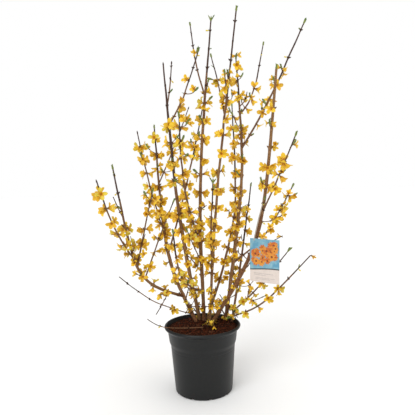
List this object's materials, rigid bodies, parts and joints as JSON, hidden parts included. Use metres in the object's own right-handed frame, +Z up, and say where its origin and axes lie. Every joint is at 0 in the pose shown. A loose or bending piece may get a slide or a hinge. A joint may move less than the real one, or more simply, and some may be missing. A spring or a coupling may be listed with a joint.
{
  "type": "potted forsythia shrub",
  "caption": "Forsythia shrub in flower before its leaves, with bare brown canes and slim sprays of yellow blossom, standing in the soil of a round black plant pot with a picture label.",
  "frame": {"origin": "centre of the pot's flat underside, on the ground", "axes": "+Z up along the pot's axis, +X to the viewer's right in the picture, +Y away from the viewer"},
  "size_m": [0.6501, 0.5434, 1.2101],
  "materials": {
    "pot_plastic": "satin black",
    "potting_soil": "damp, crumbly",
    "label_card": "printed, semi-gloss",
    "bark": "rough bark",
    "blossom": "matt petals on thin twigs"
  },
  "bodies": {
    "root": {"cane_arch_left": "bark", "cane_back": "bark", "cane_back_left": "bark", "cane_left": "bark", "cane_low_right": "bark", "cane_middle": "bark", "cane_right": "bark", "cane_right_middle": "bark", "cane_tallest": "bark", "plant_label": "label_card", "pot": "pot_plastic", "soil": "potting_soil", "spray_arch_left": "blossom", "spray_back": "blossom", "spray_back_left": "blossom", "spray_back_mid": "blossom", "spray_back_right": "blossom", "spray_creeping": "blossom", "spray_far_right": "blossom", "spray_front_left": "blossom", "spray_front_right": "blossom", "spray_inner_left": "blossom", "spray_label_twig": "blossom", "spray_left": "blossom", "spray_left_arm": "blossom", "spray_low_arch": "blossom", "spray_low_mid": "blossom", "spray_low_right": "blossom", "spray_low_sweep": "blossom", "spray_middle": "blossom", "spray_middle_fork": "blossom", "spray_outer_left": "blossom", "spray_outer_right": "blossom", "spray_rear_left": "blossom", "spray_right": "blossom", "spray_right_arm": "blossom", "spray_right_middle": "blossom", "spray_rim_tuft": "blossom", "spray_tall_left": "blossom", "spray_tallest": "blossom", "spray_thin_left": "blossom", "spray_upper_left": "blossom"}
  },
  "joints": []
}
